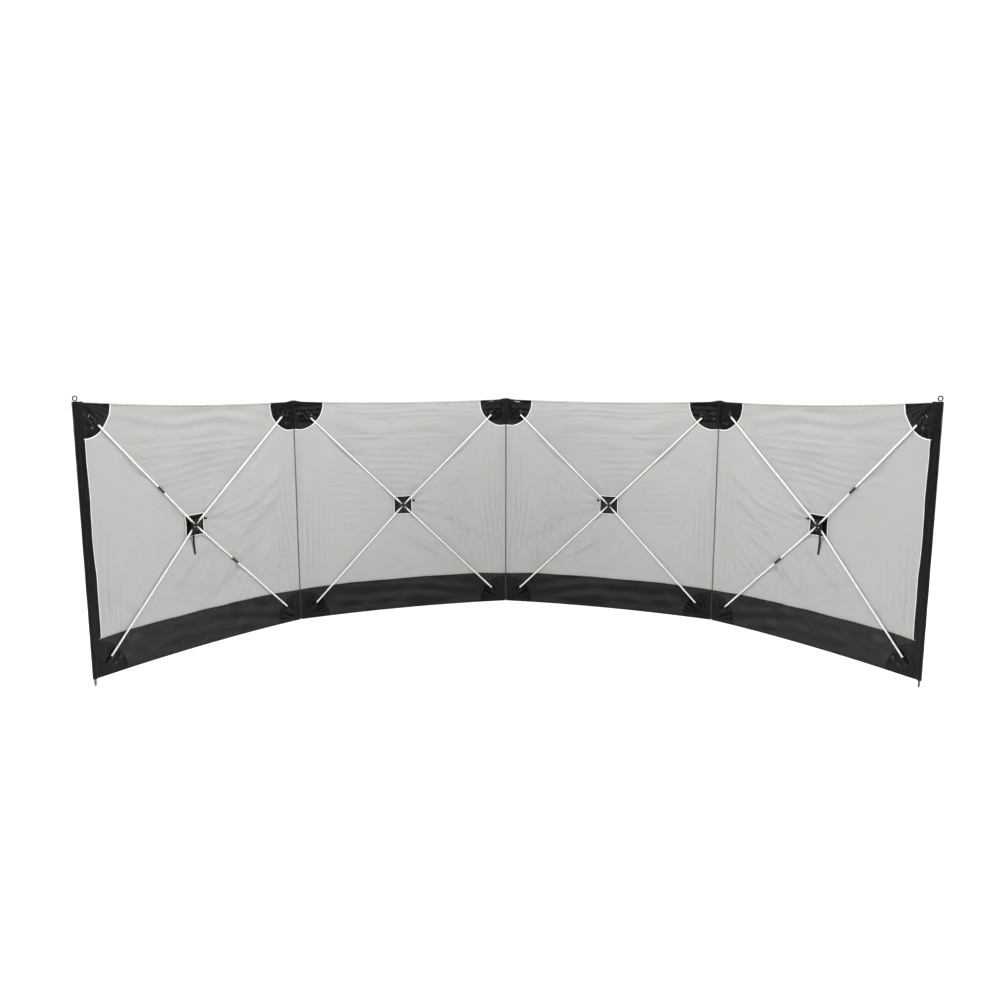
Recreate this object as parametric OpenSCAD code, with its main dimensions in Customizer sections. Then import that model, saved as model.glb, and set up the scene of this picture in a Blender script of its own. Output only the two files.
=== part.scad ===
// Beach windbreak in four bays, standing in an arc.
// The hollow side of the arc, where people sit, faces -Y. The cloth of each bay is dished
// away from them and held out by a hub and four rods. A steel pole stands in a sleeve at
// each end, and the bays hinge on their seams.
// Frame: +X from the left end to the right, +Z up, origin on the ground under the middle.

/* [Bays] */
// Width of one bay, from seam to seam
bay_w = 1400; // [1100:50:1800]
// Height of the cloth
bay_h = 1400; // [1100:50:1800]
// Turn of the arc at each seam, in degrees
seam_turn = 38; // [16:1:44]
// Lift of the cloth's two outer ends, which stand on their spikes
end_lift = 40; // [20:5:60]

/* [Cloth] */
// Depth that the hub pushes the cloth out from the line of its corners
dish = 85; // [70:5:110]
// Thickness of the cloth at the hub
cloth_t = 3; // [2:0.5:5]
// Thickness of the cloth at its hems
hem_t = 1; // [0.6:0.2:1.4]
// Height of the dark skirt along the foot
skirt_h = 200; // [140:10:260]
// Radius of the cord that runs down each seam
seam_r = 3.5; // [2.5:0.5:5]

/* [Corners] */
// Radius of the reinforcing patch in each corner
patch_r = 180; // [150:5:230]
// Thickness that a corner patch would have at the hub; it thins towards the hem
patch_t = 5; // [3:0.5:7]
// Space left between a corner patch and the edge of the cloth
patch_inset = 4; // [2:0.5:8]
// Play between a rod's tip and the pocket that takes it
pocket_play = 2.2; // [1:0.1:4]
// Wall of a pocket
pocket_wall = 1.6; // [1:0.1:3]
// How far a rod's tip goes into its pocket
pocket_grip = 18; // [12:1:22]
// Free depth past the rod's tip, on top of what its swing takes up
pocket_spare = 3.8; // [2:0.2:9]
// How far the pocket's closed end sinks into its patch, where it is sewn down
pocket_bite = 1.5; // [1:0.25:3]

/* [Hub and rods] */
// Radius of a rod
rod_r = 5; // [4:0.25:6]
// Distance from the rim of a corner patch to the tip of its rod
tip_inset = 40; // [25:5:60]
// Radius of the hub
hub_r = 34; // [28:1:42]
// Distance from the hub's rim to the rod pivots
pivot_inset = 10; // [8:0.5:12]
// Thickness of the hub behind its slots
hub_floor = 2.6; // [1.5:0.1:4]
// Thickness of the hub in front of the rod pivots
hub_cover = 9; // [6:0.5:12]
// Radius of the pivot pins
pin_r = 1.5; // [1:0.1:2]
// Side of the square patch behind the hub
hub_patch_w = 125; // [100:5:150]
// Thickness of the patch behind the hub
hub_patch_t = 2; // [1:0.5:3]
// Length of the tab on the side of the hub patch
tab_len = 22; // [10:1:30]
// Width of the webbing of the tab and of the pull strap
webbing_w = 13; // [10:1:20]
// Thickness of the webbing
webbing_t = 2; // [1:0.5:3]
// Length of the pull strap
strap_len = 178; // [100:2:240]

/* [End poles] */
// Radius of an end pole
pole_r = 8; // [7:0.5:10]
// Radius of the spike under an end pole
spike_r = 6.5; // [5:0.5:6.5]
// Length of the point of the spike
point_len = 14; // [10:1:16]
// Wall of the round sleeve on an end pole
sleeve_wall = 2.6; // [1.5:0.1:4]
// Width of the sleeve's strip, from the middle of the pole
sleeve_w = 45; // [30:1:80]
// Middle radius of the guy loop on top of a pole
loop_r = 11; // [9:0.5:15]
// Radius of the cord of the guy loop
loop_cord_r = 2.5; // [2:0.25:3]

/* [Hidden] */
BAYS = [1, 2, 3, 4];
SEAMS = [1, 2, 3];
CORNERS = [[-1, -1], [1, -1], [1, 1], [-1, 1]];
CORNER_NAMES = ["bottom_left", "bottom_right", "top_right", "top_left"];

$fn = 48;
clearance = 0.4;        // between pieces that move, or that slide together
seam_gap = 0.9;         // between a seam cord and the cloth
fuse = 0.5;             // overlap of shapes that make one piece
pin_play = 0.1;         // between a pivot pin and its hole
slot_play = 0.7;        // beside a rod in its slot in the hub
floor_play = 2;         // between a rod and the floor of its slot
heel_play = 2;          // between a rod's inner end and the inner end of its slot
slot_web = 2.3;         // from the side of a slot to the inner end of the next slot
flat_margin = 2.5;      // from the hub patch to the edge of the flat in the cloth
pin_seat = 3.3;         // length of a pivot pin in each wall of its slot
strap_rise = 12;        // from the hub's axis to the sewn end of the pull strap
tab_rise = 28;          // from the hub's axis to the middle of the tab
tab_sewn = 5;           // length of the tab that is sewn down on the hub patch
sleeve_cap = 3;         // thickness of the closed top of a sleeve
loop_shift = 5;         // from the middle of the pole to the middle of the guy loop
loop_seat = 0.1;        // between a guy loop and the top of its sleeve
reach = 4 * dish;       // thickness of a cutting slab, well past the dished cloth
dark = [0.1, 0.1, 0.11];

sleeve_r = pole_r + clearance + sleeve_wall;
flat_half = hub_patch_w / 2 + flat_margin;
cloth_slope = atan(dish / (bay_w / 2 - flat_half - seam_r - seam_gap));

// Hub: its back face, its slots, and the pivots in them
slot_w = 2 * (rod_r + slot_play);
slot_start = slot_w / 2 + slot_web;
slot_depth = rod_r + floor_play;
pivot_r = hub_r - pivot_inset;
hub_t = hub_floor + slot_depth + hub_cover;
hub_back = dish - clearance - hub_patch_t;
pivot_y = hub_back - hub_floor - slot_depth;

// Rods: the reach of a tip in the plane of the corners, and the tip's travel as its rod
// swings flat. An end bay leans a little, so its diagonals differ; the rods are all alike.
tip_at = norm([bay_w, bay_h]) / 2 - patch_r + tip_inset;
rod_run = tip_at - pivot_r;
rod_len = norm([rod_run, pivot_y]);
rod_heel = pivot_r - slot_start - heel_play;
tip_travel = rod_len - rod_run;
pocket_bore_r = rod_r + pocket_play;
pocket_r = pocket_bore_r + pocket_wall;
pocket_depth = pocket_grip + tip_travel + pocket_spare;
patch_slope = (dish - patch_t) / (bay_h / 2 - flat_half);

// Depth of the arc, and the place of its middle seam
arc_depth = bay_w * (sin(seam_turn / 2) + sin(seam_turn * 3 / 2));
middle_y = (arc_depth + sleeve_r - seam_r) / 2;

// Direction of a bay, and the place of seam s; seams 0 and 4 are the end poles
function heading(k) = seam_turn * (5 / 2 - k);
function along(k) = bay_w * [cos(heading(k)), sin(heading(k))];
function seam_at(s) =
    s == 2 ? [0, middle_y] : s < 2 ? seam_at(s + 1) - along(s + 1) : seam_at(s - 1) + along(s);

// Height of the foot of bay k above the ground, at the distance x from its left seam
function foot(k, x) = end_lift * (k == 1 ? 1 - x / bay_w : k == 4 ? x / bay_w : 0);

// Gap at each side of the cloth: at an end it meets the sleeve, elsewhere the seam cord
function edge(k, side) =
    (k == 1 && side < 0) || (k == 4 && side > 0) ? sleeve_r - fuse : seam_r + seam_gap;
function hem_x(k, side) = side < 0 ? edge(k, side) : bay_w - edge(k, side);

// Middle of bay k, and the unit vector from it to corner c, both in the bay's plane
function middle(k) = [bay_w / 2, foot(k, bay_w / 2) + bay_h / 2];
function corner(k, c) = [(c[0] + 1) / 2 * bay_w, foot(k, (c[0] + 1) / 2 * bay_w) + (c[1] + 1) / 2 * bay_h];
function towards(k, c) = (corner(k, c) - middle(k)) / norm(corner(k, c) - middle(k));

// Children in the frame of bay k: x along the foot, y away from the sitters, z up
module in_bay(k) {
    translate([seam_at(k - 1).x, seam_at(k - 1).y, 0]) rotate(heading(k)) children();
}

// Children at the middle of bay k, turned so that x runs towards corner c
module towards_corner(k, c) {
    u = towards(k, c);
    translate([middle(k).x, 0, middle(k).y]) rotate([0, -atan2(u.y, u.x), 0]) children();
}

// Layer of the dished cloth, from hem and flat heights y at its front to those at its back
module dished(k, front, back) {
    function hem(y) = [for (c = CORNERS) let (x = hem_x(k, c[0]))
                       [x, y, foot(k, x) + (c[1] + 1) / 2 * bay_h]];
    function flat(y) = [for (c = CORNERS) let (x = bay_w / 2 + c[0] * flat_half)
                        [x, y, foot(k, x) + bay_h / 2 + c[1] * flat_half]];
    sides = [for (i = [0:3]) [i, (i + 1) % 4]];
    polyhedron(
        points = concat(hem(front[0]), flat(front[1]), hem(back[0]), flat(back[1])),
        faces = concat(
            [[7, 6, 5, 4], [12, 13, 14, 15]],
            [for (s = sides) [4 + s[0], 4 + s[1], s[1], s[0]]],
            [for (s = sides) [8 + s[0], 8 + s[1], 12 + s[1], 12 + s[0]]],
            [for (s = sides) [s[0], s[1], 8 + s[1], 8 + s[0]]]));
}

// Slab of bay k between two distances along it and two heights above its foot
module band(k, x_from, x_to, z_from, z_to) {
    rotate([90, 0, 0]) linear_extrude(reach, center = true)
        polygon([[x_from, foot(k, x_from) + z_from], [x_to, foot(k, x_to) + z_from],
                 [x_to, foot(k, x_to) + z_to], [x_from, foot(k, x_from) + z_to]]);
}

// Part of the cloth of bay k between the sleeves' strips and two heights
module cloth_band(k, z_from, z_to) {
    intersection() {
        dished(k, [-hem_t / 2, dish], [hem_t / 2, dish + cloth_t]);
        band(k, k == 1 ? sleeve_w : 0, k == 4 ? bay_w - sleeve_w : bay_w, z_from, z_to);
    }
}

module cloth(k) {
    color([0.75, 0.75, 0.73]) in_bay(k) cloth_band(k, skirt_h, bay_h + fuse);
}

module skirt(k) {
    color(dark) in_bay(k) cloth_band(k, -fuse, skirt_h);
}

// Pocket for a rod's tip, along x from the middle of the bay. Its closed end goes on towards
// the corner to where the sloping patch has come down to it.
module pocket(k, c) {
    mouth = tip_at - pocket_grip;
    to_corner = norm(corner(k, c) - middle(k));
    foot_at = to_corner - (pocket_r - pocket_bite) / patch_slope / abs(towards(k, c).y);
    translate([mouth, 0, 0]) rotate([0, 90, 0]) difference() {
        cylinder(h = foot_at - mouth, r = pocket_r);
        translate([0, 0, -fuse]) cylinder(h = pocket_depth + fuse, r = pocket_bore_r);
    }
}

// The four corner patches of a bay, each with its rod pocket, all in front of the cloth
module corner_patches(k) {
    color(dark) in_bay(k) intersection() {
        dished(k, [-reach, -reach], [-hem_t / 2, dish]);
        band(k, hem_x(k, -1) + patch_inset, hem_x(k, 1) - patch_inset, -fuse, bay_h + fuse);
        union() {
            intersection() {
                dished(k, [-hem_t / 2 - patch_t / 16, dish - patch_t], [fuse, dish + fuse]);
                union() for (c = CORNERS)
                    translate([corner(k, c).x, 0, corner(k, c).y]) rotate([90, 0, 0])
                        cylinder(h = reach, r = patch_r, center = true);
            }
            for (c = CORNERS) towards_corner(k, c) pocket(k, c);
        }
    }
}

// Square patch that the hub is sewn to, with a webbing tab that follows the slope of the cloth
module hub_patch(k) {
    color(dark) in_bay(k) translate([middle(k).x, hub_back + hub_patch_t / 2, middle(k).y]) {
        cube([hub_patch_w, hub_patch_t, hub_patch_w], center = true);
        mirror([k < 3 ? 0 : 1, 0, 0])
            translate([hub_patch_w / 2 - tab_sewn, (hub_patch_t - webbing_t) / 2, tab_rise])
                rotate([0, 0, -cloth_slope]) translate([(tab_sewn + tab_len) / 2, 0, 0])
                    cube([tab_sewn + tab_len, webbing_t, webbing_w], center = true);
    }
}

// Hub: a disc with a slot and a pivot pin for each rod, open towards the sitters
module hub(k) {
    color(dark) in_bay(k) {
        difference() {
            translate([middle(k).x, hub_back, middle(k).y]) rotate([90, 0, 0])
                cylinder(h = hub_t, r = hub_r);
            for (c = CORNERS) towards_corner(k, c)
                translate([slot_start, pivot_y + slot_depth - hub_t, -slot_w / 2])
                    cube([hub_r, hub_t, slot_w]);
        }
        for (c = CORNERS) towards_corner(k, c) translate([pivot_r, pivot_y, 0])
            cylinder(h = slot_w + 2 * pin_seat, r = pin_r, center = true);
    }
}

// Rod from its pivot in the hub of bay k to its tip in the pocket of corner c
module rod(k, c) {
    color([0.86, 0.86, 0.84]) in_bay(k) towards_corner(k, c) translate([pivot_r, pivot_y, 0])
        rotate([0, 0, -atan2(pivot_y, rod_run)]) difference() {
            translate([-rod_heel, 0, 0]) rotate([0, 90, 0])
                cylinder(h = rod_heel + rod_len, r = rod_r);
            cylinder(h = 4 * rod_r, r = pin_r + pin_play, center = true);
        }
}

module seam_cord(s) {
    color(dark) translate([seam_at(s).x, seam_at(s).y, 0]) cylinder(h = bay_h, r = seam_r);
}

// Sleeve of an end: a tube closed at the top, with a strip that carries the cloth
module sleeve(k) {
    outer = k == 1 ? 0 : bay_w;
    color(dark) in_bay(k) {
        translate([outer, 0, end_lift]) difference() {
            cylinder(h = bay_h, r = sleeve_r);
            translate([0, 0, -fuse]) cylinder(h = bay_h - sleeve_cap + fuse, r = pole_r + clearance);
        }
        intersection() {
            dished(k, [-hem_t / 2, dish], [hem_t / 2, dish + cloth_t]);
            band(k, k == 1 ? 0 : bay_w - sleeve_w, k == 1 ? sleeve_w : bay_w, -fuse, bay_h + fuse);
        }
    }
}

// End pole with its ground spike
module end_pole(k) {
    color("silver") translate([seam_at(k == 1 ? 0 : 4).x, seam_at(k == 1 ? 0 : 4).y, 0]) {
        cylinder(h = point_len, r1 = spike_r / 4, r2 = spike_r);
        translate([0, 0, point_len]) cylinder(h = end_lift - point_len, r = spike_r);
        translate([0, 0, end_lift]) cylinder(h = bay_h - sleeve_cap - clearance, r = pole_r);
    }
}

// Loop of cord for a guy line, standing on top of a sleeve
module guy_loop(k) {
    shift = k == 1 ? loop_shift : bay_w - loop_shift;
    color(dark) in_bay(k)
        translate([shift, 0, end_lift + bay_h + loop_seat + loop_r + loop_cord_r]) rotate([90, 0, 0])
            rotate_extrude() translate([loop_r, 0]) circle(loop_cord_r);
}

// Strap that is pulled to turn the bay inside out before it is packed away
module pull_strap(k) {
    color(dark) in_bay(k)
        translate([middle(k).x - webbing_w / 2, hub_back - hub_t - webbing_t,
                   middle(k).y + strap_rise - strap_len])
            cube([webbing_w, webbing_t, strap_len]);
}

for (k = BAYS) {
    cloth(k);
    skirt(k);
    corner_patches(k);
    hub_patch(k);
    hub(k);
    for (i = [0:3])
        rod(k, CORNERS[i]);
}
for (s = SEAMS)
    seam_cord(s);
for (k = [1, 4]) {
    side = k == 1 ? "left" : "right";
    sleeve(k);
    end_pole(k);
    guy_loop(k);
    pull_strap(k);
}
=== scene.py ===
"""A pop-up beach windbreak: four cloth bays in an arc, each pushed out by a hub and four rods."""
import logging
import math
from dataclasses import dataclass, field
from enum import Enum

import bpy
import numpy as np
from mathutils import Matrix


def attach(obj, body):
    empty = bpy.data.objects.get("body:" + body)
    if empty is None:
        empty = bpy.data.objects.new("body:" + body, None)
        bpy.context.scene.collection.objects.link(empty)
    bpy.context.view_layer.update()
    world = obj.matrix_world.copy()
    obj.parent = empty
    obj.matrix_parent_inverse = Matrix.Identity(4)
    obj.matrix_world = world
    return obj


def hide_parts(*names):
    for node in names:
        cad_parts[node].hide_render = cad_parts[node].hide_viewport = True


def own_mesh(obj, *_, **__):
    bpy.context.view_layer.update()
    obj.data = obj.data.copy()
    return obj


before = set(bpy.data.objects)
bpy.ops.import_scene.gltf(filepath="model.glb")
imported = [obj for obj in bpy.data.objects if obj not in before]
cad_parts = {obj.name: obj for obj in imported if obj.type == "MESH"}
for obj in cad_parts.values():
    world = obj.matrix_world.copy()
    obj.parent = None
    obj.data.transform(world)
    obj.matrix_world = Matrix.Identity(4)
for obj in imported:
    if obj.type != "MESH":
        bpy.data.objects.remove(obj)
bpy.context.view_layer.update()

log = logging.getLogger("windbreak")
logging.basicConfig(level=logging.INFO, format="%(message)s")

BAY = 1.4  # width and height of a bay, in metres
TURN = 38.0  # degrees between neighbouring bays
LIFT = 0.04  # the foot of an end bay rises this much towards its pole
SKIRT = 0.2  # height of the skirt
HUB_Y = 0.073  # how far the rods' pivots stand out of the bay's plane
ROD_TIP = 0.84995  # from the middle of a bay to the tip of a rod, along its diagonal
PIVOT = 0.024  # from the middle of the hub to a rod's pivot
POST_TOP = 1.44  # top of a pole sleeve
FLAT_HALF = 0.093  # half of the flat place behind the hub, as a share of half a bay
KEEP, ANCHOR = 0.0817, 0.0056  # how flat the cloth lies when the hub is pulled in, and where
POCKET_KEEP, POCKET_ANCHOR = 0.53, -0.0018  # the same for the rods' pockets
OUTER_POST, NEXT_POST, MIDDLE_POST = (2.08622, -0.81122), (1.32373, 0.36292), (0.0, 0.81872)
MIRROR = np.array([-1, 1])
POSTS = np.array([MIRROR * OUTER_POST, MIRROR * NEXT_POST, MIDDLE_POST, NEXT_POST, OUTER_POST])
CORNERS = {"bottom_left": (-1, -1), "bottom_right": (1, -1), "top_right": (1, 1), "top_left": (-1, 1)}


class Side(Enum):
    """The two ends of the arc, with the number of the bay that each has."""

    LEFT = ("left", 1)
    RIGHT = ("right", 4)

    @property
    def label(self) -> str:
        """The word that the CAD nodes of this end have in their names."""
        return self.value[0]

    @property
    def bay(self) -> int:
        """The number of the bay at this end."""
        return self.value[1]


class Weave(Enum):
    """How a finish's fine pattern runs."""

    PLAIN = "plain weave"
    RIB = "ribbed webbing"
    SPUN = "streaks left by drawing"
    GRAIN = "fine grain"


# ---------------------------------------------------------------- meshes


@dataclass
class Shell:
    """Points and faces of one closed surface, with a flat (u, v) place in metres for each point."""

    points: np.ndarray
    faces: list
    flat: np.ndarray | None = None

    def volume(self) -> float:
        """Add up the tetrahedra of each face's fan, with the first point as their top.

        Returns:
            The signed volume, which is below 0 where the faces point inwards.
        """
        origin = self.points[0]
        total = 0.0
        by_size: dict[int, list] = {}
        for face in self.faces:
            by_size.setdefault(len(face), []).append(face)
        for size, group in by_size.items():
            corners = self.points[np.array(group)] - origin
            for i in range(1, size - 1):
                fans = np.cross(corners[:, 0], corners[:, i])
                total += float(np.einsum("ij,ij->", fans, corners[:, i + 1]))
        return total / 6

    def outward(self) -> "Shell":
        """Turn the faces over if they point inwards.

        Returns:
            The same shell.
        """
        if self.volume() < 0:
            self.faces = [face[::-1] for face in self.faces]
        return self


def grid_faces(rows: int, columns: int, start: int = 0, wrap: bool = False) -> list:
    """Quads between neighbouring rows and columns of a grid of points.

    Args:
        rows: How many rows of points there are.
        columns: How many points there are in a row.
        start: The first point's number.
        wrap: Whether the last column joins the first one.
    Returns:
        A list of four point numbers for each quad.
    """
    r = np.arange(rows - 1)[:, None]
    c = np.arange(columns if wrap else columns - 1)[None, :]
    n = (c + 1) % columns
    quads = np.stack([r * columns + c, r * columns + n, (r + 1) * columns + n, (r + 1) * columns + c], -1)
    return (quads.reshape(-1, 4) + start).tolist()


def slab(front: np.ndarray, back: np.ndarray, flat: np.ndarray | None = None) -> Shell:
    """A thin closed sheet: a front grid, a back grid behind it, and a rim that joins their borders.

    Args:
        front: Grid of points, rows by columns by 3.
        back: The same grid moved to the back of the sheet.
        flat: Grid of (u, v) places in metres, or None.
    Returns:
        The closed shell.
    """
    rows, columns = front.shape[:2]
    count = rows * columns
    index = np.arange(count).reshape(rows, columns)
    rim = np.concatenate([index[0, :], index[1:, -1], index[-1, -2::-1], index[-2:0:-1, 0]])
    following = np.roll(rim, -1)
    sides = np.stack([rim, following, following + count, rim + count], -1)
    faces = np.array(grid_faces(rows, columns))
    faces = np.concatenate([faces[:, ::-1], faces + count, sides])
    points = np.concatenate([front.reshape(-1, 3), back.reshape(-1, 3)])
    places = None if flat is None else np.tile(flat.reshape(-1, 2), (2, 1))
    return Shell(points, faces.tolist(), places).outward()


def run_along(path: np.ndarray) -> np.ndarray:
    """Distance along a path from its start to each of its points."""
    return np.concatenate([[0], np.cumsum(np.linalg.norm(np.diff(path, axis=0), axis=1))])


def smooth_step(share: np.ndarray) -> np.ndarray:
    """A soft step from 0 to 1: 3 s^2 - 2 s^3 of the share, held between 0 and 1."""
    s = np.clip(share, 0, 1)
    return s * s * (3 - 2 * s)


def sweep(path: np.ndarray, profile: np.ndarray, up: np.ndarray, closed: bool = False) -> Shell:
    """A profile carried along a path: each point is path + side * profile x + rise * profile y.

    Args:
        path: Points of the path, n by 3.
        profile: The closed outline, m by 2, or n by m by 2 where it changes on the way.
        up: Direction that the profile's y leans to, 3 or n by 3.
        closed: Whether the path's end joins its start.
    Returns:
        The tube, with flat ends where it isn't closed.
    """
    ends = (np.roll(path, -1, 0) - np.roll(path, 1, 0)) if closed else np.gradient(path, axis=0)
    tangent = ends / np.linalg.norm(ends, axis=1, keepdims=True)
    side = np.cross(tangent, np.broadcast_to(up, path.shape))
    side /= np.linalg.norm(side, axis=1, keepdims=True)
    rise = np.cross(side, tangent)
    outline = np.broadcast_to(profile, (len(path),) + profile.shape[-2:])
    rings = path[:, None] + side[:, None] * outline[..., :1] + rise[:, None] * outline[..., 1:]
    rows, columns = rings.shape[:2]
    faces = grid_faces(rows, columns, wrap=True)
    last = (rows - 1) * columns
    if closed:
        faces += [[last + i, last + (i + 1) % columns, (i + 1) % columns, i] for i in range(columns)]
    else:
        faces += [list(range(columns))[::-1], list(range(last, last + columns))]
    run = run_along(path)
    around = np.arange(columns) / columns * 0.02
    flat = np.stack(np.broadcast_arrays(around[None, :], run[:, None]), -1).reshape(-1, 2)
    return Shell(rings.reshape(-1, 3), faces, flat).outward()


def round_profile(radius: float, sides: int = 10, squeeze: float = 1.0) -> np.ndarray:
    """Points of a circle, or of an ellipse where squeeze isn't 1."""
    turn = np.linspace(0, 2 * math.pi, sides, endpoint=False)
    return np.stack([radius * np.cos(turn), radius * squeeze * np.sin(turn)], -1)


def oblong(width: float, height: float, corner: float) -> np.ndarray:
    """Outline of an oblong with rounded corners: a quarter circle of four points at each corner.

    Args:
        width: Its size along the first axis.
        height: Its size along the second axis.
        corner: Radius of its corners.
    Returns:
        The 16 points of the outline.
    """
    turn = np.radians([0, 30, 60, 90, 90, 120, 150, 180, 180, 210, 240, 270, 270, 300, 330, 360])
    centres = np.repeat([(1, 1), (-1, 1), (-1, -1), (1, -1)], 4, axis=0)
    half = np.array([width / 2 - corner, height / 2 - corner])
    return centres * half + corner * np.stack([np.cos(turn), np.sin(turn)], -1)


def stitches(path: np.ndarray, up: np.ndarray, step: float, length: float, radius: float) -> Shell:
    """A row of stitches: at each step along the path a thread bit with six points, bulging from the cloth.

    Args:
        path: Points of the seam, n by 3.
        up: Direction away from the cloth.
        step: Distance from one stitch to the next.
        length: Length of a stitch.
        radius: Half of the thread's thickness.
    Returns:
        All the bits as one shell.
    """
    run = run_along(path)
    at = np.arange(step, run[-1] - step / 2, step)
    places = np.stack([np.interp(at, run, path[:, i]) for i in range(3)], -1)
    ahead = np.stack([np.interp(at + 0.001, run, path[:, i]) for i in range(3)], -1)
    tangent = (ahead - places) / np.linalg.norm(ahead - places, axis=1, keepdims=True)
    side = np.cross(tangent, up)
    rise = np.cross(side, tangent)
    waist = [(0, radius, 0), (0, 0, radius), (0, -radius, 0), (0, 0, -radius)]
    template = np.array([(-length / 2, 0, 0), *waist, (length / 2, 0, 0)])
    axes = enumerate((tangent, side, rise))
    points = places[:, None] + sum(axis[:, None] * template[None, :, i : i + 1] for i, axis in axes)
    start_cone = [(0, 2, 1), (0, 3, 2), (0, 4, 3), (0, 1, 4)]
    end_cone = [(5, 1, 2), (5, 2, 3), (5, 3, 4), (5, 4, 1)]
    faces = np.array(start_cone + end_cone)
    numbers = faces[None] + 6 * np.arange(len(at))[:, None, None]
    return Shell(points.reshape(-1, 3), numbers.reshape(-1, 3).tolist()).outward()


def piece(
    name: str, shells: list[Shell], finish: "Finish | list[Finish]", smooth: bool = True
) -> bpy.types.Object:
    """Make one object of several shells, dress it and link it to the scene.

    Args:
        name: The object's name.
        shells: The closed surfaces that it has.
        finish: What it is made of, or the finish of each shell.
        smooth: Whether its faces are shaded as one curved surface.
    Returns:
        The new object, at the origin, unturned and unscaled.
    """
    starts = np.cumsum([0] + [len(s.points) for s in shells])
    faces = [[i + int(start) for i in face] for s, start in zip(shells, starts) for face in s.faces]
    mesh = bpy.data.meshes.new(name)
    mesh.from_pydata(np.concatenate([s.points for s in shells]).tolist(), [], faces)
    mesh.polygons.foreach_set("use_smooth", [smooth] * len(faces))
    if all(s.flat is not None for s in shells):
        loops = np.empty(len(mesh.loops), dtype=np.int32)
        mesh.loops.foreach_get("vertex_index", loops)
        places = np.concatenate([s.flat for s in shells])[loops]
        mesh.uv_layers.new(name="flat").data.foreach_set("uv", places.ravel().astype(np.float32))
    mesh.update()
    obj = bpy.data.objects.new(name, mesh)
    bpy.context.scene.collection.objects.link(obj)
    finishes = finish if isinstance(finish, list) else [finish] * len(shells)
    kinds = list(dict.fromkeys(finishes))
    for kind in kinds:
        mesh.materials.append(kind.material())
    numbers = np.repeat([kinds.index(kind) for kind in finishes], [len(s.faces) for s in shells])
    mesh.polygons.foreach_set("material_index", numbers.astype(np.int32))
    if smooth:
        mesh.set_sharp_from_angle(angle=math.radians(50))
    log.info("%s: %d faces", name, len(faces))
    return obj


def part(
    name: str,
    shells: list[Shell],
    finish: "Finish | list[Finish]",
    body: str,
    stands_for: str | None = None,
    smooth: bool = True,
) -> bpy.types.Object:
    """Make a piece that moves with a CAD body.

    Args:
        name: The piece's name.
        shells: The closed surfaces that it has.
        finish: What it is made of, or the finish of each shell.
        body: The CAD body that it rides on.
        stands_for: The CAD node that it is shown for, if it is.
        smooth: Whether its faces are shaded as one curved surface.
    Returns:
        The new object.
    """
    obj = piece(name, shells, finish, smooth)
    if stands_for:
        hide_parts(stands_for)
    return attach(obj, body)


# ---------------------------------------------------------------- finishes


def linear(colour: str) -> tuple[float, float, float, float]:
    """A hex colour in linear light.

    Args:
        colour: The colour, such as #a0b0c0.
    Returns:
        Red, green, blue and alpha.
    """
    parts = [int(colour.lstrip("#")[i : i + 2], 16) / 255 for i in (0, 2, 4)]
    red, green, blue = (c / 12.92 if c <= 0.04045 else ((c + 0.055) / 1.055) ** 2.4 for c in parts)
    return red, green, blue, 1.0


def add_node(
    tree: bpy.types.NodeTree, kind: str, settings: dict | None = None, inputs: dict | None = None
) -> bpy.types.Node:
    """Add a node to a tree.

    Args:
        tree: The node tree.
        kind: The node's type name.
        settings: The node's properties and their values.
        inputs: A value, or an output socket to link, for each input's name or number.
    Returns:
        The node.
    """
    node = tree.nodes.new(kind)
    for key, value in (settings or {}).items():
        setattr(node, key, value)
    for key, value in (inputs or {}).items():
        if isinstance(value, bpy.types.NodeSocket):
            tree.links.new(value, node.inputs[key])
        else:
            node.inputs[key].default_value = value
    return node


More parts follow.
